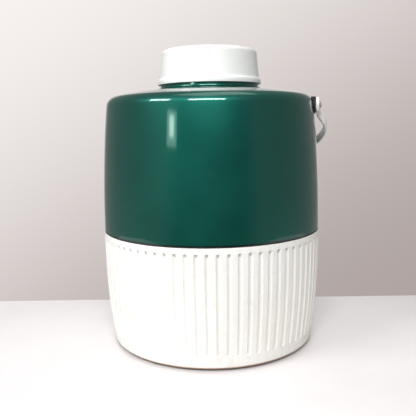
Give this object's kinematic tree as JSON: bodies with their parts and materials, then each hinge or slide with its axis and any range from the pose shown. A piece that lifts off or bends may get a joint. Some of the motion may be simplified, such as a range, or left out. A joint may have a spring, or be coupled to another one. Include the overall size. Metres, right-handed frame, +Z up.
{
  "type": "insulated picnic jug",
  "caption": "Insulated one-gallon drinks jug with a painted steel jacket, ribbed plastic base, screw cap and folding bail handle.",
  "frame": {"origin": "on the jug's axis, in the plane of the foot ring it stands on", "axes": "+Z up along the jug's axis, +X along the handle's pivot axis, +Y towards the back, where the handle rests"},
  "size_m": [0.221, 0.2224, 0.28],
  "materials": {
    "green_paint": "satin",
    "base_plastic": "satin",
    "cap_plastic": "satin",
    "handle_plastic": "satin",
    "liner_plastic": "satin",
    "foam": "matte",
    "black_rubber": "matte",
    "grey_rubber": "matte",
    "backing_steel": "satin",
    "rivet_metal": "satin"
  },
  "bodies": {
    "vessel": {"base": "base_plastic", "seam_seal": "black_rubber", "jacket": "green_paint", "liner": "liner_plastic", "foam_body": "foam", "fill_plug": "base_plastic", "neck_seal": "grey_rubber", "pivot_spacer_left": "black_rubber", "pivot_spacer_right": "black_rubber", "backing_plate_left": "backing_steel", "backing_plate_right": "backing_steel", "pivot_rivet_left": "rivet_metal", "pivot_rivet_right": "rivet_metal"},
    "cap_riser": {"cap_gasket": "grey_rubber"},
    "cap": {"cap_shell": "cap_plastic", "cap_insert": "liner_plastic", "cap_foam": "foam"},
    "bail": {"handle": "handle_plastic"}
  },
  "joints": [
    {"name": "cap_lift", "type": "slide", "parent": "vessel", "child": "cap_riser", "axis": [0, 0, 1], "range_m": [0, 0.024]},
    {"name": "cap_turn", "type": "hinge", "parent": "cap_riser", "child": "cap", "pos_m": [0, 0, 0.26], "axis": [0, 0, 1], "range_deg": [0, 1080]},
    {"name": "handle_swing", "type": "hinge", "parent": "vessel", "child": "bail", "pos_m": [0, 0, 0.2258], "axis": [1, 0, 0], "range_deg": [0, 230]}
  ],
  "couplings": [
    {"joint": "cap_lift", "follows": "cap_turn", "m_per_rad": 0.0012732}
  ]
}
